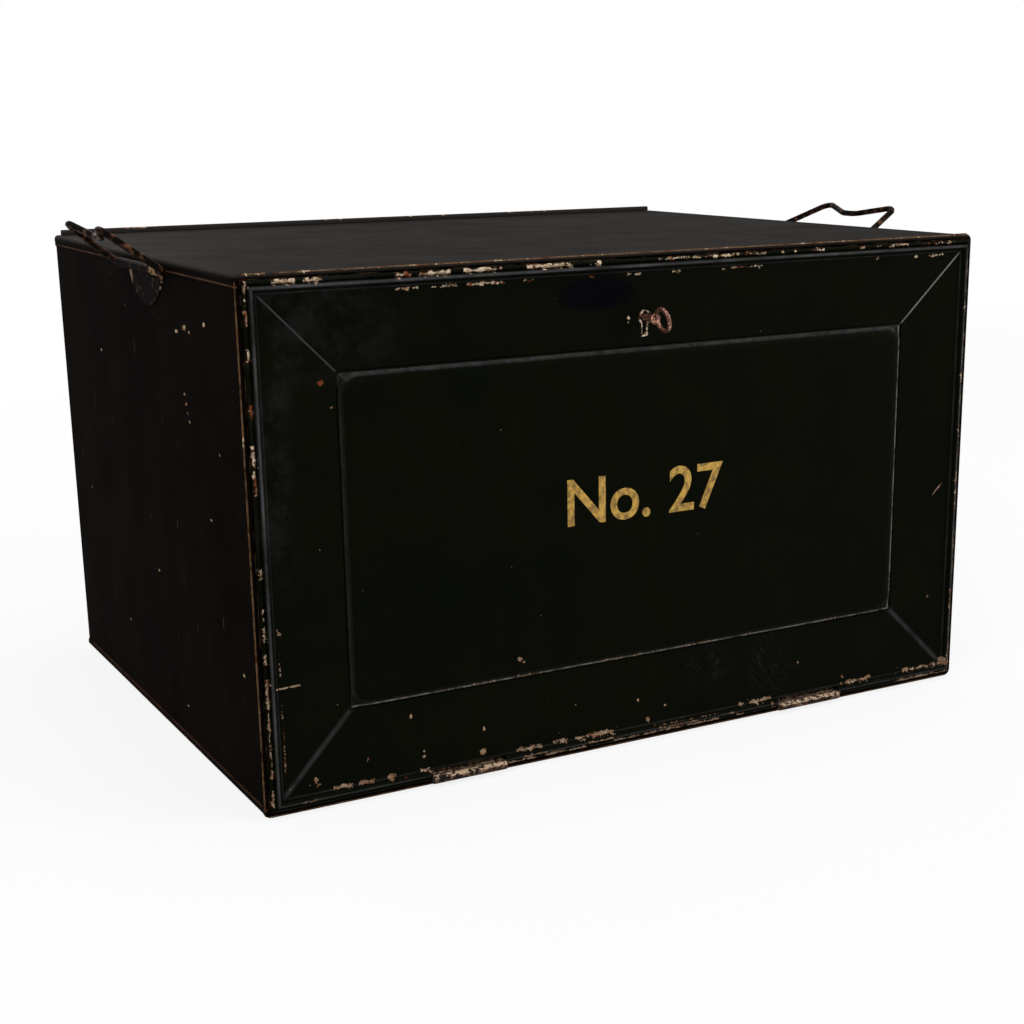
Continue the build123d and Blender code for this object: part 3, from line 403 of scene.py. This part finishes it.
def makeCaseJapan():
    # the same japan, older and thinner: brown-black, dull, brushed on the top, and rubbed through to
    # ground coat and tin along every rolled or folded edge
    p = casePaint
    material, tree = startMaterial("rubbedBrownJapan")
    vector, x, y, z = places(tree)
    fromTop, fromSide, fromEnd, inset = insets(tree, x, z)
    atFront = between(tree, y, None, p["rollDepth"], 0.6)
    onTop = between(tree, z, 348.2, None, 1.6)
    onSkin = between(tree, fromSide, None, p["skin"], 0.15)
    onBack = between(tree, y, p["back"], None, 0.1)
    inside = overlap(tree, [between(tree, fromSide, p["insideSide"], None, 0.1),
                            between(tree, fromEnd, p["insideEnd"], None, 0.1),
                            between(tree, y, *p["insideDepth"], 0.3)])
    outer = addNode(tree, "Math", (1.0, inside), operation="SUBTRACT")

    # the rolled edge round the opening: a thin line worn along its outer crest, and a broken one beside the door
    moved = shaken(tree, vector, p["shakeSize"], p["shakeReach"])
    ragged = patches(tree, vector, p["flakeSize"], 0.34, 0.66, 5.0, 0.68)
    longWear = patches(tree, vector, 30.0, 0.36, 0.58, 5.0, 0.66)
    steady = overlap(tree, [between(tree, x, 105.0, None, 15.0), onTop])
    crestPlace = addNode(tree, "Math", (inset, y), operation="ADD")
    crest = overlap(tree, [between(tree, crestPlace, None, p["crest"], 0.14), atFront,
                           unite(tree, [overlap(tree, [steady, 0.85]), longWear])])
    sill = overlap(tree, [between(tree, z, None, 1.5, 0.6), atFront, weighted(tree, 0.5, [(longWear, 0.5)])])
    joint = overlap(tree, [between(tree, inset, *p["crevice"], 0.4), between(tree, y, None, 1.8, 0.8),
                           patches(tree, vector, 14.0, 0.46, 0.6, 5.0), 0.75])

    # the top's turned-down flange, the lap at the foot, the folds, the hem and the back edges
    fold = between(tree, addNode(tree, "Math", (fromSide, fromTop), operation="ADD"), None, 4.2, 1.6)
    flange = overlap(tree, [between(tree, fromTop, *p["flange"], 0.5), onSkin,
                            weighted(tree, 0.4, [(longWear, 0.6)])])
    lap = overlap(tree, [between(tree, z, *p["lap"], 0.6), onSkin, weighted(tree, 0.2, [(longWear, 0.6)])])
    foot = overlap(tree, [between(tree, z, None, 1.6, 2.4), between(tree, fromSide, None, 5.0, 3.0)])
    hem = overlap(tree, [between(tree, z, p["hemCrest"], None, 0.7), longWear])
    backFold = overlap(tree, [between(tree, y, 448.4, None, 0.8), between(tree, fromEnd, None, 2.6, 1.4), longWear])
    backSide = overlap(tree, [between(tree, y, 447.6, None, 1.0), between(tree, fromSide, None, 2.6, 1.4)])
    edges = unite(tree, [overlap(tree, [fold, 0.75]), overlap(tree, [foot, 0.9]), hem, backSide, backFold])
    edgeFlakes = weighted(tree, -0.9, [(overlap(tree, [edges, ragged]), 1.75)])
    rollFlakes = weighted(tree, -0.75, [(overlap(tree, [crest, ragged]), 1.5)])

    # single flakes on the sides and the back, knocks along the roll's top, fine specks and long nicks
    movedX, movedY, movedZ = addNode(tree, "SeparateXYZ", (moved,)).node.outputs
    crumbs = patches(tree, vector, 1.5, 0.36, 0.68, 3.0, 0.65)
    narrow = 1 / p["spotStretch"]
    flat = addNode(tree, "CombineXYZ", {"Y": overlap(tree, [movedY, narrow]), "Z": movedZ})
    sideSpots = flakeSpots(tree, flat, [((0, across * narrow, up), radius) for across, up, radius in p["sideSpots"]])
    upright = addNode(tree, "CombineXYZ", {"X": movedX, "Z": movedZ})
    backSpots = flakeSpots(tree, upright, [((across, 0, up), radius) for across, up, radius in p["backSpots"]])
    knocks = flakeLine(tree, movedX, crestPlace, ragged, caseSize["width"], p["knocks"])
    spots = unite(tree, [
        overlap(tree, [weighted(tree, 0.6, [(sideSpots, 1.0), (crumbs, -0.7)]), onSkin]),
        overlap(tree, [weighted(tree, 0.6, [(knocks, 1.0), (crumbs, -0.5)]), between(tree, z, 344.0, None, 1.0)]),
        overlap(tree, [weighted(tree, 0.6, [(backSpots, 1.0)]), onBack])])
    speck = weighted(tree, -12.0, [(patches(tree, vector, 3.0, detail=2.0), 15.6)])
    depth = unite(tree, [weighted(tree, 0.6, [(unite(tree, [edgeFlakes, rollFlakes, speck]), 1.0)]), spots])
    depth = overlap(tree, [depth, outer])
    rim = between(tree, depth, 0.66, None, 0.12)
    core = between(tree, depth, 0.95, None, 0.2)
    drawn = addNode(tree, "Mapping", {"Vector": vector, "Rotation": (math.radians(14), 0, 0), "Scale": (1, 12, 1)})
    nicks = overlap(tree, [patches(tree, drawn, 26.0, 0.72, 0.77, 3.0, 0.5), unite(tree, [onSkin, onBack]), 0.35])

    # sides brown-black and clouded, the top greyer with brush streaks, its lighter grey a painted reflection of the
    # bright room at a low angle, the inside cleaner with brown blooms
    cloud = patches(tree, vector, 90.0, 0.35, 0.66)
    grain = patches(tree, vector, 0.8, detail=3.0)
    brushed = addNode(tree, "Mapping", {"Vector": vector, "Scale": (0.05, 1.8, 1)})
    streak = patches(tree, brushed, 2.2, 0.34, 0.70, 5.0, 0.65)
    stain = patches(tree, vector, 46.0, 0.40, 0.66, 6.0, 0.62)
    mottle = overlap(tree, [patches(tree, vector, 6.0, 0.5, 0.75), 0.5])
    side = coat(tree, p["side"], [(cloud, p["sideBrown"]), (mottle, p["sideBrown"])])
    top = coat(tree, p["top"], [(streak, p["topPale"]), (overlap(tree, [stain, 0.35]), p["side"])])
    within = coat(tree, p["inside"], [(overlap(tree, [stain, 0.8]), p["insideBrown"])])
    colour = coat(tree, side, [(onTop, top), (inside, within), (between(tree, z, p["hemFace"], None, 0.4), p["hem"]),
                               (overlap(tree, [nicks, outer]), p["tinDull"])])
    worn = coat(tree, p["rubbed"], [(patches(tree, vector, 5.0, 0.42, 0.58), p["tinDull"]),
                                    (patches(tree, vector, 13.0, 0.54, 0.62), p["rust"])])
    lines = unite(tree, [overlap(tree, [crest, 0.9]), joint, sill])
    colour = coat(tree, colour, [(overlap(tree, [unite(tree, [flange, lap]), outer, 0.7]), p["line"]),
                                 (overlap(tree, [lines, outer, weighted(tree, 0.35, [(ragged, 0.65)])]), worn)])
    rust = coat(tree, p["rim"], [(patches(tree, vector, 5.0, 0.5, 0.62), p["rust"])])
    tin = coat(tree, p["tin"], [(patches(tree, vector, 3.0, 0.4, 0.6), p["tinDull"]),
                                (patches(tree, vector, 10.0, 0.54, 0.6), p["rust"])])
    colour = coat(tree, colour, [(overlap(tree, [rim, 0.9]), rust), (overlap(tree, [core, 0.95]), tin)])

    smear = patches(tree, vector, 40.0, detail=5.0)
    roughness = weighted(tree, 0.46, [(smear, 0.2), (rim, 0.2)])
    height = weighted(tree, 0.0, [(rim, -0.45), (grain, 0.10), (streak, 0.12),
                                  (patches(tree, vector, 15.0, detail=3.0), 0.7)])
    finishPaint(tree, colour, roughness, overlap(tree, [core, 0.2]), height, p["specular"])
    return material


# each metal: dark film, half-worn and bare colours, patch size in mm, the levels between them, and gloss
metalFinishes = {
    # drawn iron wire: brown, with a faint lengthwise shine
    "rolledEdgeWire": {"dark": "#1b1613", "mid": "#4a3324", "bare": "#6f6152", "size": 3.3, "low": 0.35,
                       "high": 0.70, "rough": 0.5, "metal": 0.8, "specular": 0.5},
    # tinned iron under worn japan: cream crests and brown hollows
    "tinnedHingeIron": {"dark": "#15100d", "mid": "#452c1d", "bare": "#ab927a", "size": 3.2, "low": 0.42,
                        "high": 0.60, "rough": 0.5, "metal": 0.2, "specular": 0.05},
    # round iron rod, japanned, rubbed by hands to a brown shine
    "paintedHandleIron": {"dark": "#0c0907", "mid": "#24160f", "bare": "#573a2b", "size": 6.0, "low": 0.44,
                          "high": 0.60, "rough": 0.34, "metal": 0.03, "specular": 0.006},
    # japanned tin with its edges rubbed tan, the same tan laid as a painted highlight on its rounded edge
    "wornPlateJapan": {"dark": "#0b0908", "mid": "#261810", "bare": "#7f674e", "size": 7.0, "low": 0.52,
                       "high": 0.66, "rough": 0.52, "metal": 0.0, "specular": 0.002},
    # sheet iron kept oiled: dark grey with brown clouds
    "oiledLockIron": {"dark": "#2b2724", "mid": "#41352b", "bare": "#5c544b", "size": 11.0, "low": 0.35,
                      "high": 0.70, "rough": 0.42, "metal": 0.9, "specular": 0.5},
    # lead and tin run into a joint: dull grey and lumpy
    "softSolderJoint": {"dark": "#1c1815", "mid": "#35312d", "bare": "#7c7972", "size": 3.0, "low": 0.38,
                        "high": 0.60, "rough": 0.48, "metal": 0.5, "specular": 0.3},
    # heat-blued strip: slate with a clear shine
    "bluedSpringSteel": {"dark": "#2b3138", "mid": "#3a3a40", "bare": "#5a6068", "size": 5.0, "low": 0.35,
                         "high": 0.75, "rough": 0.30, "metal": 1.0, "specular": 0.5},
    # handled iron: coppery brown, bright where fingers turn it
    "brownedKeyIron": {"dark": "#3d261d", "mid": "#7a4d3e", "bare": "#d6ab94", "size": 1.8, "low": 0.30,
                       "high": 0.58, "rough": 0.26, "metal": 0.85, "specular": 0.5},
}
# where two of them are rubbed most, the hinge knuckles' crests and a handle plate's back edge, and the plate's
# rounded edge, which carries a painted highlight
rubbedAndHighlitPlaces = {"knuckles": (7.2, 8.8), "plateMiddle": (0, 189, 338.5), "plateRadius": 34.5, "plateFront": 180.0,
                "plateBack": 222.0, "plateBelow": 338.0}


def makeMetal(name):
    # old iron and tin: a film of paint or oxide over metal that hands and edges rub bright
    p = metalFinishes[name]
    material, tree = startMaterial(name)
    vector, _, y, z = places(tree)
    film = patches(tree, vector, p["size"], detail=5.0, rough=0.62)
    pits = patches(tree, vector, 0.4, detail=3.0)    # drawn coarser than real pitting so that it shows
    worn = between(tree, film, p["high"], None, p["high"] - p["low"])
    bright = between(tree, weighted(tree, 0.0, [(film, 1.0), (pits, 0.14)]), p["high"] + 0.12, None, 0.12)
    if name == "tinnedHingeIron":
        # papers slid over the sill and the lowered door rub the knuckles' crests
        crest = overlap(tree, [between(tree, z, *rubbedAndHighlitPlaces["knuckles"], 0.7),
                               between(tree, film, 0.52, None, 0.08)])
        bright = unite(tree, [overlap(tree, [bright, 0.4]), crest])
    if name == "wornPlateJapan":
        # the swinging handle and passing hands rub the plate's back end; its rounded front edge carries a painted
        # highlight
        away = addNode(tree, "CombineXYZ", {"Y": y, "Z": z})
        away = addNode(tree, "VectorMath", (away, rubbedAndHighlitPlaces["plateMiddle"]), "Value", operation="DISTANCE")
        backEnd = overlap(tree, [between(tree, y, rubbedAndHighlitPlaces["plateBack"], None, 2.0),
                                 between(tree, z, None, rubbedAndHighlitPlaces["plateBelow"], 1.0),
                                 between(tree, film, 0.46, None, 0.06)])
        curvedEdgeHighlight = overlap(tree, [between(tree, away, rubbedAndHighlitPlaces["plateRadius"], None, 2.0),
                                between(tree, y, None, rubbedAndHighlitPlaces["plateFront"], 6.0),
                                between(tree, film, 0.5, None, 0.05)])
        bright = unite(tree, [overlap(tree, [bright, 0.4]), backEnd, curvedEdgeHighlight])
    colour = coat(tree, p["dark"], [(worn, p["mid"]), (bright, p["bare"])])
    roughness = weighted(tree, p["rough"] - 0.08, [(pits, 0.22)])
    metallic = overlap(tree, [weighted(tree, 0.35, [(worn, 0.65)]), p["metal"]])
    height = weighted(tree, 0.0, [(pits, 0.3), (film, 0.7)])
    bump = addNode(tree, "Bump", {"Strength": 0.8, "Distance": 0.0002, "Height": height})
    shader = addNode(tree, "BsdfPrincipled", {"Base Color": colour, "Roughness": roughness, "Metallic": metallic,
                                              "IOR": 1.5, "Specular IOR Level": p["specular"], "Normal": bump})
    addNode(tree, "OutputMaterial", (shader,))
    return material


print("materials")
doorJapan = makeDoorJapan()
caseJapan = makeCaseJapan()
finishes = {name: makeMetal(name) for name in metalFinishes}

dressing = {
    "case_japan": caseJapan, "door_japan": doorJapan, "plate_japan": finishes["wornPlateJapan"],
    "tinned_hinge": finishes["tinnedHingeIron"], "iron_wire": finishes["rolledEdgeWire"],
    "handle_iron": finishes["paintedHandleIron"], "lock_iron": finishes["oiledLockIron"],
    "spring_steel": finishes["bluedSpringSteel"], "key_iron": finishes["brownedKeyIron"],
}
slotOf = {part["node"]: part["material_slot"] for part in frame["record"]["subparts"]}
for node, item in frame["nodes"].items():
    item.data.materials.clear()
    item.data.materials.append(dressing[slotOf[node]])


# the solder that closes the four back corners, in metres: each lump's middle across from the centre line, back from
# the case's middle and up from the floor, its radius and height share, and where its inner side is cut flat
solder = {"across": 0.2820, "back": 0.2181, "low": 0.0052, "high": 0.3437, "radius": 0.0059, "flatten": 0.85,
          "cut": 0.0011}


def makeCornerSolder():
    # one lump, cut flat on its inner side, then set in all four corners
    lump = bmesh.new()
    bmesh.ops.create_uvsphere(lump, u_segments=28, v_segments=18, radius=solder["radius"])
    bmesh.ops.scale(lump, vec=(1, 1, solder["flatten"]), verts=lump.verts)
    cut = bmesh.ops.bisect_plane(lump, geom=lump.verts[:] + lump.edges[:] + lump.faces[:],
                                 plane_co=(0, 0, solder["cut"]), plane_no=(0, 0, 1), clear_outer=True)
    rim = [item for item in cut["geom_cut"] if isinstance(item, bmesh.types.BMEdge)]
    bmesh.ops.contextual_create(lump, geom=rim)
    shape = bmesh.new()
    for side in (-1, 1):
        for height, inward in ((solder["low"], 1), (solder["high"], -1)):
            placed = bpy.data.meshes.new("placedSolder")
            lump.to_mesh(placed)
            placed.transform(Matrix.Translation((side * solder["across"], solder["back"], height))
                             @ Matrix.Diagonal((1, 1, inward, 1)))
            shape.from_mesh(placed)
            bpy.data.meshes.remove(placed)
    lump.free()
    bmesh.ops.recalc_face_normals(shape, faces=shape.faces)
    mesh = bpy.data.meshes.new("cornerSolder")
    shape.to_mesh(mesh)
    shape.free()
    mesh.materials.append(finishes["softSolderJoint"])
    piece = bpy.data.objects.new("cornerSolder", mesh)
    bpy.context.scene.collection.objects.link(piece)
    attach(piece, "case")


print("solder")
makeCornerSolder()


# a plain number where such a box carries its label
gilt = {"words": "No. 27", "height": 0.046, "bold": 0.0006, "lift": 0.00006, "middle": (0.0, -0.2242, 0.181),
        "leaf": "#b8913c", "thin": "#6e5320"}


def makeGoldLeaf():
    # gold leaf laid on size and worn thin: a warm satin yellow, broken where the black shows through
    material, tree = startMaterial("wornGoldLeaf")
    vector, *_ = places(tree)
    thin = patches(tree, vector, 4.5, detail=5.0, rough=0.65)
    colour = coat(tree, gilt["thin"], [(between(tree, thin, 0.62, None, 0.26), gilt["leaf"])])
    grain = patches(tree, vector, 0.8, detail=3.0)
    bump = addNode(tree, "Bump", {"Strength": 0.4, "Distance": 0.00006, "Height": grain})
    shader = addNode(tree, "BsdfPrincipled", {"Base Color": colour, "Metallic": 0.35,
                                              "Roughness": weighted(tree, 0.38, [(thin, 0.2)]), "Normal": bump})
    addNode(tree, "OutputMaterial", (shader,))
    return material


def makeGiltNumber():
    curve = bpy.data.curves.new("giltNumberCurve", "FONT")
    curve.body = gilt["words"]
    curve.size = gilt["height"]
    curve.align_x = "CENTER"
    curve.align_y = "CENTER"
    curve.offset = gilt["bold"]
    curve.resolution_u = 6
    writing = bpy.data.objects.new("giltNumberCurve", curve)
    bpy.context.scene.collection.objects.link(writing)
    bpy.context.view_layer.update()
    mesh = bpy.data.meshes.new_from_object(writing.evaluated_get(bpy.context.evaluated_depsgraph_get()))
    bpy.data.objects.remove(writing)
    x, y, z = gilt["middle"]
    mesh.transform(Matrix.Translation((x, y - gilt["lift"], z)) @ Matrix.Rotation(math.radians(90), 4, "X"))
    mesh.materials.clear()
    mesh.materials.append(makeGoldLeaf())
    piece = bpy.data.objects.new("giltNumber", mesh)
    bpy.context.scene.collection.objects.link(piece)
    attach(piece, "door")


print("gilt number")
makeGiltNumber()


# the floor's glow is its share of plain white to the camera, which grows to all of it over the fade, in metres
stage = {"floorSize": 60.0, "floorColour": "#e9e9e8", "floorWhite": 0.84, "fade": (1.2, 3.2), "worldLight": 0.42,
         "lampTarget": (0, 0, 0.17)}
lamps = {
    "windowLeft": {"place": (-2.2, -1.6, 2.2), "size": (1.6, 1.6), "power": 42.0},
    "boxAbove": {"place": (0.6, -0.3, 2.9), "size": (2.4, 2.0), "power": 40.0},
    "fillRight": {"place": (2.4, -1.8, 1.3), "size": (0.9, 1.6), "power": 26.0},
    "fillBack": {"place": (-0.3, 3.0, 1.2), "size": (1.6, 1.0), "power": 26.0},
}
cameraFacts = {
    "place": (-0.6250745, -1.2190380, 0.4388140), "lens": 60.297, "shift": (-0.04297, 0.0615),
    "right": (0.87249749, -0.48849752, -0.01087678), "up": (0.13555312, 0.22060275, 0.96589843),
    "forward": (0.46943954, 0.84421834, -0.25869271),
}


def seenDirectly(tree):
    # 1 for what the camera, a gloss or a glass sees, 0 for the light that falls on things
    rays = addNode(tree, "LightPath").node.outputs
    return unite(tree, [rays["Is Camera Ray"], rays["Is Glossy Ray"], rays["Is Transmission Ray"]])


def makeWorld():
    world = bpy.data.worlds.new("studio")
    world.use_nodes = True
    tree = world.node_tree
    tree.nodes.clear()
    strength = weighted(tree, stage["worldLight"], [(seenDirectly(tree), 1.0 - stage["worldLight"])])
    addNode(tree, "OutputWorld", (addNode(tree, "Background", {"Color": "#ffffff", "Strength": strength}),))
    bpy.context.scene.world = world


def makeFloor():
    # a plain pale card, white to the camera away from the box
    shape = bmesh.new()
    bmesh.ops.create_grid(shape, x_segments=1, y_segments=1, size=stage["floorSize"] / 2)
    mesh = bpy.data.meshes.new("floor")
    shape.to_mesh(mesh)
    shape.free()
    material, tree = startMaterial("paleFloorCard")
    card = addNode(tree, "BsdfPrincipled", {"Base Color": stage["floorColour"], "Roughness": 0.9,
                                            "Specular IOR Level": 0.1})
    glow = addNode(tree, "Emission", {"Color": "#ffffff", "Strength": 1.0})
    away = addNode(tree, "VectorMath", (addNode(tree, "TexCoord", output="Object"),), "Value", operation="LENGTH")
    start, end = stage["fade"]
    faded = between(tree, away, end, None, end - start)
    white = weighted(tree, stage["floorWhite"], [(faded, 1 - stage["floorWhite"])])
    mixed = addNode(tree, "MixShader", (overlap(tree, [seenDirectly(tree), white]), card, glow))
    addNode(tree, "OutputMaterial", (mixed,))
    mesh.materials.append(material)
    floor = bpy.data.objects.new("floor", mesh)
    bpy.context.scene.collection.objects.link(floor)


def makeLights():
    for name, facts in lamps.items():
        light = bpy.data.lights.new(name, "AREA")
        light.shape = "RECTANGLE"
        light.size, light.size_y = facts["size"]
        light.energy = facts["power"]
        lamp = bpy.data.objects.new(name, light)
        place = Vector(facts["place"])
        lamp.location = place
        lamp.rotation_euler = (Vector(stage["lampTarget"]) - place).to_track_quat("-Z", "Y").to_euler()
        bpy.context.scene.collection.objects.link(lamp)


def makeCamera():
    data = bpy.data.cameras.new("camera")
    data.sensor_width = 36
    data.lens = cameraFacts["lens"]
    data.shift_x, data.shift_y = cameraFacts["shift"]
    camera = bpy.data.objects.new("camera", data)
    right, up, forward = (Vector(cameraFacts[name]) for name in ("right", "up", "forward"))
    turn = Matrix((right, up, -forward)).transposed().to_4x4()
    camera.matrix_world = Matrix.Translation(cameraFacts["place"]) @ turn
    bpy.context.scene.collection.objects.link(camera)
    bpy.context.scene.camera = camera


print("stage")
makeWorld()
makeFloor()
makeLights()
makeCamera()
bpy.context.scene.view_settings.view_transform = "Standard"
